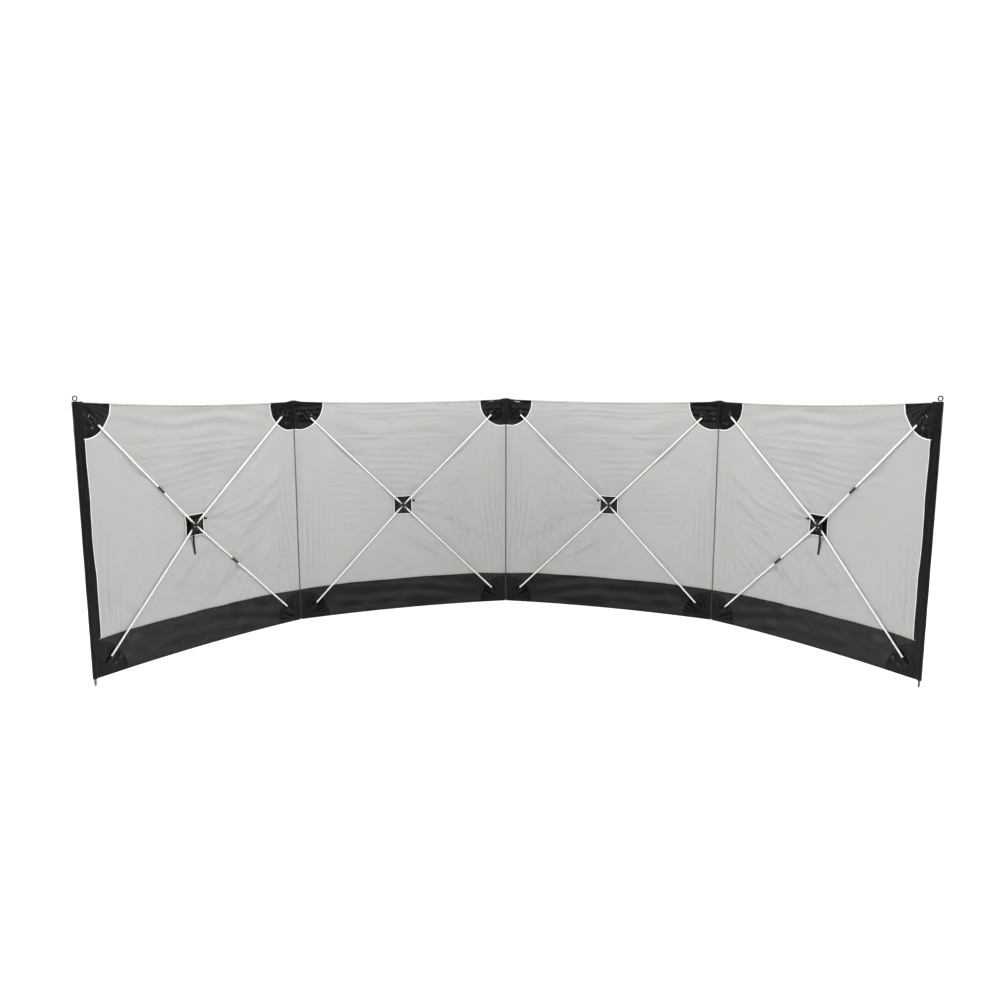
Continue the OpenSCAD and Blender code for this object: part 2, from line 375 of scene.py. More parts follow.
@dataclass(frozen=True)
class Finish:
    """One real material: its colours, gloss and the scale of its fine pattern."""

    name: str
    pale: str
    dark: str
    roughness: float
    patch_mm: float
    pattern_mm: float
    relief: float
    weave: Weave
    metallic: float = 0.0
    specular: float = 0.5
    coat: float = 0.0
    coat_roughness: float = 0.1
    glow: float = 0.0
    rough_span: float = 0.06

    def material(self) -> bpy.types.Material:
        """Make the finish's material, the first time that it is asked for.

        Returns:
            The material.
        """
        known = bpy.data.materials.get(self.name)
        if known:
            return known
        material = bpy.data.materials.new(self.name)
        material.use_nodes = True
        tree = material.node_tree
        tree.nodes.clear()
        place = add_node(tree, "ShaderNodeTexCoord")
        clouds = {"Scale": 1000 / self.patch_mm, "Detail": 4.0, "Roughness": 0.55}
        clouds["Vector"] = place.outputs["Object"]
        cloudy = add_node(tree, "ShaderNodeTexNoise", {"noise_dimensions": "3D"}, clouds)
        tones = {0: cloudy.outputs[0], 6: linear(self.dark), 7: linear(self.pale)}
        tint = add_node(tree, "ShaderNodeMix", {"data_type": "RGBA"}, tones)
        smoothest, roughest = self.roughness - self.rough_span, self.roughness + self.rough_span
        span = {0: cloudy.outputs[0], 1: 0.3, 2: 0.7, 3: smoothest, 4: roughest}
        gloss = add_node(tree, "ShaderNodeMapRange", {}, span)
        relief = {"Strength": 0.6, "Distance": self.relief / 1000}
        bump = add_node(tree, "ShaderNodeBump", {}, {**relief, "Height": self.fine_pattern(tree, place)})
        shader = add_node(
            tree,
            "ShaderNodeBsdfPrincipled",
            {},
            {
                "Base Color": tint.outputs[2],
                "Roughness": gloss.outputs[0],
                "Metallic": self.metallic,
                "Specular IOR Level": self.specular,
                "Coat Weight": self.coat,
                "Coat Roughness": self.coat_roughness,
                "Emission Color": (1.0, 1.0, 1.0, 1.0),
                "Emission Strength": self.glow,
                "Normal": bump.outputs[0],
            },
        )
        add_node(tree, "ShaderNodeOutputMaterial", {}, {"Surface": shader.outputs[0]})
        return material

    def fine_pattern(self, tree: bpy.types.NodeTree, place: bpy.types.Node) -> bpy.types.NodeSocket:
        """The height of the finish's fine pattern.

        Args:
            tree: The material's node tree.
            place: The texture coordinate node.
        Returns:
            The socket with the height.
        """
        if self.weave in (Weave.GRAIN, Weave.SPUN):
            spun = self.weave is Weave.SPUN
            texture = {"Scale": 1000 / self.pattern_mm, "Detail": 2.0 if spun else 3.0}
            texture.update({"Vector": place.outputs["Object"], "Distortion": 0.4 if spun else 0.0})
            return add_node(tree, "ShaderNodeTexNoise", {}, texture).outputs[0]
        # A wave texture has one wave in pi/10 of its vector at scale 1, so a thread of p mm needs 314/p.
        texture = {"Vector": place.outputs["UV"], "Scale": 314 / self.pattern_mm, "Distortion": 0.3}
        form = {"wave_type": "BANDS", "wave_profile": "SIN"}
        warp, weft = (
            add_node(tree, "ShaderNodeTexWave", {**form, "bands_direction": way}, texture).outputs["Fac"]
            for way in ("X", "Y")
        )
        share = 0.5 if self.weave is Weave.PLAIN else 0.85
        return add_node(tree, "ShaderNodeMix", {"data_type": "FLOAT"}, {0: share, 2: warp, 3: weft}).outputs[0]


# Grey 210 denier polyester with a thin coating: satin, a little uneven in tone. The 0.4 mm threads
# are drawn at 3 mm so that they show in a near view.
GREY_CLOTH = Finish(
    "coated_polyester_grey", "#aaaaa8", "#a3a3a2", 0.6, 420, 3.0, 0.16, Weave.PLAIN, specular=0.25
)
# The same cloth folded twice and sewn for the hem, painted paler: a painted highlight for the light that the
# rolled hem catches.
LIT_HEM_CLOTH = Finish(
    "folded_hem_painted_highlight", "#b4b4b0", "#a9a9a5", 0.6, 60, 2.0, 0.2, Weave.PLAIN, specular=0.3
)
# Black coated polyester of the skirt: a wet look in broad soft bands.
SKIRT_CLOTH = Finish(
    "coated_polyester_black", "#1a1b1c", "#131415", 0.38, 260, 3.0, 0.14, Weave.PLAIN,
    specular=0.14, coat=0.16, coat_roughness=0.3,
)
# Shiny black PVC-coated patch cloth: pleats catch the light as sharp streaks.
PATCH_CLOTH = Finish(
    "pvc_coated_black", "#0c0c0d", "#070708", 0.22, 120, 1.6, 0.05, Weave.PLAIN,
    specular=0.07, coat=0.28, coat_roughness=0.065,
)
# The same patch cloth at the foot, duller with sand and handling.
FOOT_PATCH_CLOTH = Finish(
    "pvc_coated_black_worn", "#0c0c0d", "#070708", 0.3, 120, 1.6, 0.05, Weave.PLAIN,
    specular=0.1, coat=0.1, coat_roughness=0.16,
)
# Black sleeve cloth over the pole, satin with a faint violet tone.
SLEEVE_CLOTH = Finish(
    "sleeve_polyester_black", "#110f13", "#0a090c", 0.36, 150, 2.4, 0.16, Weave.PLAIN, specular=0.12
)
# White PVC piping sewn into the edges.
PIPING = Finish("pvc_piping_white", "#f0f0ee", "#e6e6e3", 0.35, 40, 3.0, 0.05, Weave.GRAIN)
# Greyer, thinner piping along the top of the skirt.
GREY_PIPING = Finish("pvc_piping_grey", "#a8a8a6", "#969694", 0.4, 40, 3.0, 0.05, Weave.GRAIN)
# Pultruded fibreglass rod: pale, smooth, slightly glossy, with faint fibres.
FIBREGLASS = Finish(
    "fibreglass_pale", "#ececea", "#dfdfdc", 0.28, 90, 4.0, 0.04, Weave.GRAIN, coat=0.15
)
# Black glass-filled nylon of the hub, moulded with a fine spark-eroded grain.
NYLON = Finish(
    "nylon_moulded_black", "#141415", "#0d0d0e", 0.42, 50, 1.2, 0.12, Weave.GRAIN, specular=0.3
)
# Blackened brass ferrule that joins two lengths of rod.
FERRULE = Finish(
    "ferrule_blackened_brass", "#3a3835", "#2b2927", 0.38, 20, 1.5, 0.03, Weave.SPUN, metallic=0.9
)
# Zinc-plated steel tube: bright grey, cloudy, with drawing lines along it.
STEEL = Finish("steel_zinc_plated", "#707276", "#55575b", 0.34, 35, 2.5, 0.03, Weave.SPUN, metallic=1.0)
# Grey binding tape round the seam cord.
BINDING = Finish("binding_tape_grey", "#666666", "#545455", 0.6, 50, 1.5, 0.2, Weave.RIB, specular=0.3)
# The same tape along the skirt, painted darker: painted shade for the foot of the seam.
SHADED_FOOT_BINDING = Finish(
    "binding_tape_painted_shade", "#3a3a3b", "#2e2e2f", 0.6, 50, 1.5, 0.2, Weave.RIB, specular=0.2
)
# Black braided polyester cord.
CORD = Finish(
    "braided_cord_black", "#0c0c0d", "#060607", 0.6, 12, 1.6, 0.35, Weave.PLAIN, specular=0.15
)
# Black ribbed polyester webbing.
WEBBING = Finish("webbing_black", "#111112", "#0a0a0b", 0.5, 25, 1.4, 0.3, Weave.RIB, specular=0.2)
# Dark bonded polyester sewing thread.
THREAD = Finish("thread_dark", "#2e2e2e", "#242424", 0.5, 8, 0.8, 0.05, Weave.GRAIN)
# Matt white studio paper.
PAPER = Finish(
    "studio_paper", "#f4f4f2", "#f1f1ef", 0.85, 900, 4.0, 0.02, Weave.GRAIN, specular=0.1, glow=0.5
)


# ---------------------------------------------------------------- the bays' shape


@dataclass(frozen=True)
class Fold:
    """A soft ridge along a line in a bay: height * exp(-(distance / width)^2), fading at its ends."""

    start: tuple[float, float]
    end: tuple[float, float]
    height: float
    width: float
    bow: float = 0.0

    def at(self, x: np.ndarray, z: np.ndarray) -> np.ndarray:
        """How far the ridge stands towards the sitters.

        Args:
            x: Distance along the bay from its outer post.
            z: Height above the bay's foot.
        Returns:
            The distance at each place, in metres.
        """
        run = np.array(self.end) - np.array(self.start)
        length = float(np.hypot(*run))
        along = ((x - self.start[0]) * run[0] + (z - self.start[1]) * run[1]) / length**2
        across = ((z - self.start[1]) * run[0] - (x - self.start[0]) * run[1]) / length
        across = across - self.bow * 4 * along * (1 - along)
        fade = smooth_step(np.clip(along / 0.25, 0, 1) * np.clip((1 - along) / 0.25, 0, 1))
        return self.height * fade * np.exp(-((across / self.width) ** 2))


@dataclass(frozen=True)
class Ripple:
    """A patch of even waves: height * cos(2 pi distance / spacing), fading away from its middle."""

    centre: tuple[float, float]
    reach: tuple[float, float]
    angle: float
    spacing: float
    height: float
    drift: float = 0.25

    def at(self, x: np.ndarray, z: np.ndarray) -> np.ndarray:
        """How far the waves stand towards the sitters.

        Args:
            x: Distance along the bay from its outer post.
            z: Height above the bay's foot.
        Returns:
            The distance at each place, in metres.
        """
        c, s = math.cos(math.radians(self.angle)), math.sin(math.radians(self.angle))
        dx, dz = x - self.centre[0], z - self.centre[1]
        across = dx * c + dz * s
        along = dz * c - dx * s
        wander = self.drift * self.spacing * np.sin(along / 0.11 + across / 0.3)
        fade = np.exp(-((dx / self.reach[0]) ** 2) - (dz / self.reach[1]) ** 2)
        return self.height * fade * np.cos(2 * math.pi * (across + wander) / self.spacing)


@dataclass(frozen=True)
class Fan:
    """Wrinkles that radiate from a place: height * cos(count * angle), fading inwards and outwards."""

    centre: tuple[float, float]
    inner: float
    outer: float
    facing: float
    spread: float
    count: float
    height: float

    def at(self, x: np.ndarray, z: np.ndarray) -> np.ndarray:
        """How far the wrinkles stand towards the sitters.

        Args:
            x: Distance along the bay from its outer post.
            z: Height above the bay's foot.
        Returns:
            The distance at each place, in metres.
        """
        dx, dz = x - self.centre[0], z - self.centre[1]
        reach = np.hypot(dx, dz)
        turn = np.degrees(np.arctan2(dz, dx)) - self.facing
        turn = (turn + 180) % 360 - 180
        fade = np.exp(-((turn / self.spread) ** 2))
        fade = fade * np.clip((reach - self.inner * 0.7) / (self.inner * 0.3), 0, 1)
        fade = fade * np.exp(-((np.maximum(reach - self.inner, 0) / (self.outer - self.inner)) ** 2))
        return self.height * fade * np.cos(self.count * np.radians(turn) + 2.0 * reach / self.outer)


# Wrinkles of an end bay and of an inner bay, x counted from the outer post to the inner one.
END_WRINKLES = (
    Fold((0.25, 1.150), (1.15, 1.190), 0.0016, 0.010),
    Fold((0.35, 1.100), (1.22, 1.150), 0.0014, 0.009),
    Fold((0.30, 0.27), (0.66, 0.60), 0.0060, 0.030, 0.02),
    Fold((0.46, 0.25), (0.83, 0.56), -0.0050, 0.028, 0.02),
    Fold((0.62, 0.24), (1.02, 0.58), 0.0060, 0.030, -0.02),
    Fold((0.82, 0.27), (1.22, 0.60), -0.0040, 0.026, 0.02),
    Fold((0.88, 0.50), (1.30, 0.86), 0.0045, 0.028, 0.02),
    Fold((0.95, 0.72), (1.33, 1.02), 0.0030, 0.024, -0.02),
    Ripple((1.31, 0.55), (0.10, 0.34), 8, 0.040, 0.0012),
    Ripple((0.12, 0.42), (0.10, 0.22), -6, 0.038, 0.0012),
    Ripple((0.70, 1.30), (0.55, 0.10), 88, 0.085, 0.0016),
    Ripple((0.60, 0.30), (0.45, 0.10), 62, 0.110, 0.0022),
    Ripple((0.98, 0.40), (0.26, 0.15), 140, 0.052, 0.0014),
    Ripple((1.02, 0.72), (0.22, 0.16), 106, 0.048, 0.0010),
    Ripple((0.66, 1.02), (0.30, 0.12), 96, 0.046, 0.0008),
    Fan((0.70, 0.72), 0.080, 0.240, 20, 55, 13, 0.0024),
)
INNER_WRINKLES = (
    Fold((0.16, 1.165), (1.16, 1.155), 0.0018, 0.009),
    Fold((0.42, 0.300), (1.12, 0.275), 0.0018, 0.009),
    Fold((0.76, 0.62), (1.20, 0.27), 0.0060, 0.030, 0.02),
    Fold((0.90, 0.64), (1.30, 0.36), -0.0045, 0.028, 0.02),
    Fold((0.62, 0.56), (0.98, 0.24), -0.0045, 0.028, 0.01),
    Fold((0.50, 0.48), (0.80, 0.23), 0.0035, 0.030, 0.01),
    Ripple((1.34, 0.52), (0.15, 0.32), 4, 0.038, 0.0015),
    Ripple((0.07, 0.58), (0.10, 0.26), -4, 0.036, 0.0010),
    Ripple((0.70, 1.33), (0.60, 0.06), 90, 0.034, 0.0008),
    Ripple((0.70, 1.22), (0.55, 0.14), 86, 0.120, 0.0016),
    Ripple((0.96, 0.42), (0.22, 0.14), 56, 0.058, 0.0014),
    Ripple((1.10, 0.54), (0.10, 0.20), 18, 0.036, 0.0012),
    Ripple((0.60, 0.96), (0.28, 0.12), 82, 0.046, 0.0010),
    Ripple((0.34, 0.66), (0.16, 0.22), 78, 0.050, 0.0006),
    Fan((0.70, 0.70), 0.080, 0.230, 18, 55, 14, 0.0026),
)


def small_creases(rng: np.random.Generator) -> list[Fold]:
    """Short creases as packing leaves them: level above the hub, upright by the posts, radial beside it.

    Args:
        rng: The seeded source of their places.
    Returns:
        The creases.
    """
    found = []
    for _ in range(70):
        x, z = rng.uniform(0.08, 1.32), rng.uniform(0.28, 1.32)
        dx, dz = x - BAY / 2, z - BAY / 2
        if dz > abs(dx):
            turn = rng.normal(4, 9)
        elif min(x, BAY - x) < 0.24:
            turn = rng.normal(90, 7)
        else:
            turn = math.degrees(math.atan2(dz, dx)) + rng.normal(10, 16)
        half = rng.uniform(0.04, 0.15)
        c, s = half * math.cos(math.radians(turn)), half * math.sin(math.radians(turn))
        height = rng.uniform(0.0007, 0.0019) * rng.choice((-1.0, 1.0))
        width, bow = rng.uniform(0.006, 0.014), rng.uniform(-0.015, 0.015)
        found.append(Fold((x - c, z - s), (x + c, z + s), height, width, bow))
    return found


def rod_y(reach: np.ndarray) -> np.ndarray:
    """How far a rod's centreline stands out of the bay's plane at a distance from the hub."""
    return HUB_Y * (ROD_TIP - reach) / (ROD_TIP - PIVOT)


@dataclass(frozen=True)
class Bay:
    """The shape of one bay of cloth, which its cloth, skirt, patches, hems and piping all follow."""

    number: int
    sag: float
    foot_bow: float = 0.015
    skirt_bow: float = 0.017
    apex: float = 0.008
    fold_strength: float = 3.2
    crease_strength: float = 2.0
    wave_height: float = 0.0030
    behind_rod: float = 0.0064
    rod_band: float = 0.009

    @property
    def body(self) -> str:
        """The CAD body of the bay."""
        return f"bay_{self.number}"

    @property
    def is_end(self) -> bool:
        """Whether the bay has a pole sleeve."""
        return self.number in (1, 4)

    @property
    def mirrored(self) -> bool:
        """Whether the bay is in the right half of the arc."""
        return self.number > 2

    @property
    def heading(self) -> float:
        """The bay's turn in the row frame, in radians."""
        return math.radians(TURN * (2.5 - self.number))

    @property
    def outward(self) -> np.ndarray:
        """Unit vector out of the bay, away from the sitters."""
        return np.array([-math.sin(self.heading), math.cos(self.heading), 0.0])

    def place(self, x: np.ndarray, y: np.ndarray, z: np.ndarray) -> np.ndarray:
        """Points of the row frame: the left post + x along the bay + y outwards + z up.

        Args:
            x: Distance along the bay from its left post.
            y: Distance out of its plane, away from the sitters.
            z: Height in the row frame.
        Returns:
            The points, with a last axis of 3.
        """
        c, s = math.cos(self.heading), math.sin(self.heading)
        post = POSTS[self.number - 1]
        return np.stack(np.broadcast_arrays(post[0] + x * c - y * s, post[1] + x * s + y * c, z), -1)

    def foot(self, x: np.ndarray) -> np.ndarray:
        """Height of the straight line between the bay's two lower corners.

        Args:
            x: Distance along the bay from its left post.
        Returns:
            The height at each place.
        """
        if self.number == 1:
            return LIFT * (1 - x / BAY)
        return LIFT * x / BAY if self.number == 4 else 0 * x

    def bow(self, x: np.ndarray) -> np.ndarray:
        """A parabola that is 1 in the middle of the bay and 0 at its posts."""
        return 4 * (x / BAY) * (1 - x / BAY)

    def low(self, x: np.ndarray) -> np.ndarray:
        """Height of the skirt's foot, which the tension lifts between the posts."""
        return self.foot(x) + self.foot_bow * self.bow(x)

    def line(self, x: np.ndarray) -> np.ndarray:
        """Height of the line where the skirt meets the cloth."""
        return self.foot(x) + SKIRT + self.skirt_bow * self.bow(x)

    def top(self, x: np.ndarray) -> np.ndarray:
        """Height of the top hem: it sags between the posts and rises to a small peak at a seam.

        Args:
            x: Distance along the bay from its left post.
        Returns:
            The height at each place.
        """
        near = np.minimum(x, BAY - x)
        if self.is_end:
            near = BAY - x if self.number == 1 else x
        return self.foot(x) + BAY - self.sag * self.bow(x) + self.apex * np.exp(-((near / 0.035) ** 2))

    @property
    def middle(self) -> float:
        """Height of the hub."""
        return float(self.foot(np.array(BAY / 2))) + BAY / 2

    def share(self, x: np.ndarray, z: np.ndarray) -> tuple[np.ndarray, np.ndarray]:
        """How far a place is from the hub towards the posts and towards the edges, from -1 to 1."""
        low, top = self.low(x), self.top(x)
        return (x - BAY / 2) / (BAY / 2), 2 * (z - low) / (top - low) - 1

    def wrinkles(self, x: np.ndarray, z: np.ndarray) -> np.ndarray:
        """The sum of the bay's folds, ripples, fans and small creases, and of a broad uneven waviness.

        Args:
            x: Distance along the bay from its left post.
            z: Height in the row frame.
        Returns:
            How far the cloth stands towards the sitters for them, in metres.
        """
        across = BAY - x if self.mirrored else x
        up = z - self.foot(x)
        sewn = END_WRINKLES if self.is_end else INNER_WRINKLES
        total = self.fold_strength * sum(w.at(across, up) for w in sewn)
        rng = np.random.default_rng(7 + min(self.number, 5 - self.number))
        total = total + self.crease_strength * sum(w.at(across, up) for w in small_creases(rng))
        spacings, turns = rng.uniform(0.09, 0.5, 26), rng.uniform(0, 2 * math.pi, 26)
        for spacing, turn, phase in zip(spacings, turns, rng.uniform(0, 6.28, 26)):
            wave = (across * math.cos(turn) + up * math.sin(turn)) * 2 * math.pi / spacing + phase
            total = total + self.wave_height * spacing * np.sin(wave)
        return total

    def proud(self, x: np.ndarray, z: np.ndarray, creased: bool = True) -> np.ndarray:
        """How far the cloth's face stands out of the bay's plane.

        With m the larger of the shares to the posts and to the edges, softened along the diagonals,
        the cloth falls as 84 - 89 m mm from the hub to a shallow rim of 60 (1 - m) mm, and the hub
        lifts it by 9.5 mm more in the middle. The wrinkles are added, and the rods hold it back
        along the diagonals. Beside a seam it stays within 0.12 of the distance to the seam in front
        and 0.19 behind, so that two bays can be folded together.

        Args:
            x: Distance along the bay from its left post.
            z: Height in the row frame.
            creased: Whether the wrinkles are added.
        Returns:
            The distance for each place, in metres.
        """
        a, b = (np.abs(v) for v in self.share(x, z))
        m = np.maximum(a, b)
        rounding = 0.12 * np.clip(1 - m, 0, 1) * np.clip((m - FLAT_HALF) / 0.1, 0, 1) + 1e-6
        s = m + np.maximum(rounding - np.abs(a - b), 0) ** 2 / (4 * rounding)
        line = 0.084 - 0.089 * s
        rim = 0.060 * (1 - s)
        gap = 0.004
        fall = np.maximum(line, rim) + np.maximum(gap - np.abs(line - rim), 0) ** 2 / (4 * gap)
        rise = 0.0095 * np.exp(-np.maximum(s - FLAT_HALF, 0) / 0.045)
        y = np.where(s < FLAT_HALF, 0.0852, np.minimum(fall + rise, 0.0852))
        if not creased:
            return y
        calm = np.clip((s - FLAT_HALF * 1.04) / 0.06, 0, 1) * np.clip((1 - s) / 0.045, 0, 1) ** 1.5
        y = y - self.wrinkles(x, z) * calm
        room = self.seam_distance(x)
        y = np.clip(y, -0.12 * room, 0.19 * room + 0.0002)
        return np.maximum(y, self.held_back(x, z))

    def seam_distance(self, x: np.ndarray) -> np.ndarray:
        """Distance to the nearer seam with another bay, which a bay has room to fold along.

        Args:
            x: Distance along the bay from its left post.
        Returns:
            The distance at each place.
        """
        left = x if self.number > 1 else np.full_like(x, BAY)
        right = BAY - x if self.number < 4 else np.full_like(x, BAY)
        return np.minimum(left, right)

    def held_back(self, x: np.ndarray, z: np.ndarray) -> np.ndarray:
        """The least that the cloth stands out so that it lies behind each rod.

        Behind a rod's centreline by its radius and a little more, for a band as wide as the rod, and
        from there the cloth may come forward by half of the distance from the band.

        Args:
            x: Distance along the bay from its left post.
            z: Height in the row frame.
        Returns:
            The distance out of the bay's plane, or a negative number away from the rods.
        """
        least = np.full(np.broadcast(x, z).shape, -1.0)
        for corner in CORNERS.values():
            ex, ez = self.diagonal(corner, np.array(1.0))
            dx, dz = ex - BAY / 2, ez - self.middle
            reach = (x - BAY / 2) * dx + (z - self.middle) * dz
            aside = np.abs((x - BAY / 2) * dz - (z - self.middle) * dx)
            back = rod_y(reach) + self.behind_rod - 0.5 * np.maximum(aside - self.rod_band, 0)
            beside = (reach > 0.03) & (reach < ROD_TIP + 0.012)
            least = np.maximum(least, np.where(beside, back, -1.0))
        return least

    def diagonal(self, corner: tuple[int, int], reach: np.ndarray) -> tuple[np.ndarray, np.ndarray]:
        """Places on the line from the hub to a corner.

        Args:
            corner: Signs of the corner, left or right and bottom or top.
            reach: Distance from the hub.
        Returns:
            The bay's x and z.
        """
        x = BAY * (corner[0] + 1) / 2
        z = float(self.foot(np.array(x))) + BAY * (corner[1] + 1) / 2
        run = math.hypot(x - BAY / 2, z - self.middle)
        return BAY / 2 + reach * (x - BAY / 2) / run, self.middle + reach * (z - self.middle) / run

    def on(self, x: np.ndarray, z: np.ndarray, lift: float) -> np.ndarray:
        """Points that stand in front of the cloth's face by a lift."""
        return self.place(x, self.proud(x, z) - lift, z)

    def sheet(self, x: np.ndarray, y: np.ndarray, z: np.ndarray, thickness: float) -> Shell:
        """A thin sheet whose face goes through places of the bay, with its back behind them."""
        flat = np.stack([x, z], -1)
        return slab(self.place(x, y, z), self.place(x, y + thickness, z), flat)

    def add(
        self,
        name: str,
        shells: list[Shell],
        finish: "Finish | list[Finish]",
        slot: str,
        node: str | None = None,
        smooth: bool = True,
        keep: float = KEEP,
        anchor: float = ANCHOR,
    ) -> bpy.types.Object:
        """Make a soft piece that rides on the bay.

        Args:
            name: The piece's name without the bay's number.
            shells: The closed surfaces that it has.
            finish: What it is made of, or the finish of each shell.
            slot: Not used.
            node: The CAD node that it is shown for, without the bay's number.
            smooth: Whether its faces are shaded as one curved surface.
            keep: Not used.
            anchor: Not used.
        Returns:
            The new object.
        """
        stands_for = f"{node}_{self.number}" if node else None
        obj = part(f"{name}_{self.number}", shells, finish, self.body, stands_for, smooth)
        at = self.place(np.array(BAY / 2), np.array(anchor), np.array(self.middle))
        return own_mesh(obj, f"hub_{self.number}_pull", self.outward.tolist(), at.tolist(), keep)


# ---------------------------------------------------------------- pieces of a bay


@dataclass(frozen=True)
class ClothPanel:
    """The grey cloth of one bay, with its folded top hem and the stitches under it."""

    bay: Bay
    columns: int = 210
    rows: int = 176
    thickness: float = 0.0008
    edge: float = 0.0040
    sleeve_edge: float = 0.038
    hem_height: float = 0.008
    tuck: float = 0.006

    def limits(self) -> tuple[float, float]:
        """Where the cloth begins and ends along the bay.

        Returns:
            The two distances from the bay's left post.
        """
        left = self.sleeve_edge if self.bay.number == 1 else self.edge
        right = self.sleeve_edge if self.bay.number == 4 else self.edge
        return left, BAY - right

    def build(self) -> None:
        """Make the cloth: a grid between the skirt's line and the hem, out by the bay's shape."""
        bay = self.bay
        u = np.linspace(*self.limits(), self.columns)
        v = np.linspace(0, 1, self.rows)[:, None]
        x = np.broadcast_to(u, (self.rows, self.columns))
        low, top = bay.line(x) - self.tuck, bay.top(x)
        z = low + (top - low) * v
        sheet = bay.sheet(x, bay.proud(x, z), z, self.thickness)
        cloth = bay.add("cloth_sheet", [sheet], GREY_CLOTH, "cloth", "cloth")
        hem = self.hem()

    def hem(self) -> list[bpy.types.Object]:
        """Make the hem along the top edge and its row of stitches.

        Returns:
            The two new objects.
        """
        bay = self.bay
        u = np.linspace(*self.limits(), 120)
        outline = oblong(self.hem_height, 0.0026, 0.001)
        roll = sweep(bay.on(u, bay.top(u) - self.hem_height / 2, -0.0003), outline, bay.outward)
        row = bay.on(u, bay.top(u) - self.hem_height - 0.0016, 0.0002)
        bits = stitches(row, bay.outward, 0.0062, 0.0058, 0.0010)
        return [
            # The hem's paler colour is a painted highlight.
            bay.add("top_hem", [roll], LIT_HEM_CLOTH, "cloth"),
            bay.add("hem_stitches", [bits], THREAD, "cloth", smooth=False),
        ]


@dataclass(frozen=True)
class Skirt:
    """The black skirt of one bay, with grey piping along its top and a hem at its foot."""

    bay: Bay
    columns: int = 220
    rows: int = 40
    thickness: float = 0.001
    edge: float = 0.0038

    def bands(self, x: np.ndarray, z: np.ndarray, v: np.ndarray) -> np.ndarray:
        """How far the skirt's soft slanting bands stand out: two sine waves that fade at its borders.

        Args:
            x: Distance along the bay from its left post.
            z: Height in the row frame.
            v: Share of the way from the foot to the top line.
        Returns:
            The distance towards the sitters, in metres.
        """
        across = BAY - x if self.bay.mirrored else x
        steep = (z - self.bay.foot(x)) / 0.085 + across / 0.8
        bands = 0.0028 * np.sin(2 * math.pi * steep + 1.6 * np.sin(across / 0.17))
        bands = bands + 0.0022 * np.sin(2 * math.pi * (across / 0.23 - z / 0.20))
        from_posts = np.clip((np.minimum(x, BAY - x) - 0.17) / 0.12, 0, 1)
        return bands * (np.sin(math.pi * np.clip(v, 0, 1)) ** 0.7 * from_posts)

    def build(self) -> None:
        """Make the skirt: a grid between its bowed foot and its bowed top line, with soft bands."""
        bay = self.bay
        u = np.linspace(self.edge, BAY - self.edge, self.columns)
        v = np.linspace(0, 1, self.rows)[:, None]
        x = np.broadcast_to(u, (self.rows, self.columns))
        low, line = bay.low(x), bay.line(x)
        z = low + (line - low) * v
        y = bay.proud(x, z) - self.bands(x, z, v) - 0.0012
        skirt = bay.add("skirt_sheet", [bay.sheet(x, y, z, self.thickness)], SKIRT_CLOTH, "skirt", "skirt")
        u = np.linspace(self.edge, BAY - self.edge, 120)
        cord = sweep(bay.on(u, bay.line(u), 0.0016), oblong(0.0030, 0.0022, 0.0008), bay.outward)
        roll = sweep(bay.on(u, bay.low(u) + 0.005, 0.0006), oblong(0.010, 0.0034, 0.0014), bay.outward)
        trim = [
            bay.add("skirt_piping", [cord], GREY_PIPING, "skirt"),
            bay.add("foot_hem", [roll], SKIRT_CLOTH, "skirt"),
        ]


@dataclass(frozen=True)
class Pleat:
    """A radial pleat of a corner patch: its angle from the level edge, height, width and reach."""

    angle: float
    height: float
    width: float
    start: float = 0.15
    end: float = 0.95


TOP_PLEATS = (
    Pleat(9, 0.0034, 4.2),
    Pleat(18, 0.0026, 3.2),
    Pleat(29, 0.0018, 3.0),
    Pleat(59, 0.0018, 3.0),
    Pleat(68, 0.0034, 3.2),
    Pleat(76, 0.0054, 3.8),
    Pleat(84, 0.0044, 2.8),
)
FOOT_PLEATS = (
    Pleat(12, 0.0020, 5.0),
    Pleat(25, 0.0030, 4.2),
    Pleat(60, 0.0026, 4.0),
    Pleat(74, 0.0018, 4.6),
)
CRUMPLED_PLEATS = (
    Pleat(7, 0.0050, 2.6, 0.35, 1.0),
    Pleat(14, 0.0055, 2.4, 0.5, 1.0),
    Pleat(21, 0.0060, 2.6, 0.4, 1.0),
    Pleat(28, 0.0050, 2.4, 0.5, 0.95),
    Pleat(34, 0.0035, 2.2, 0.55, 0.9),
    Pleat(62, 0.0026, 4.0),
)


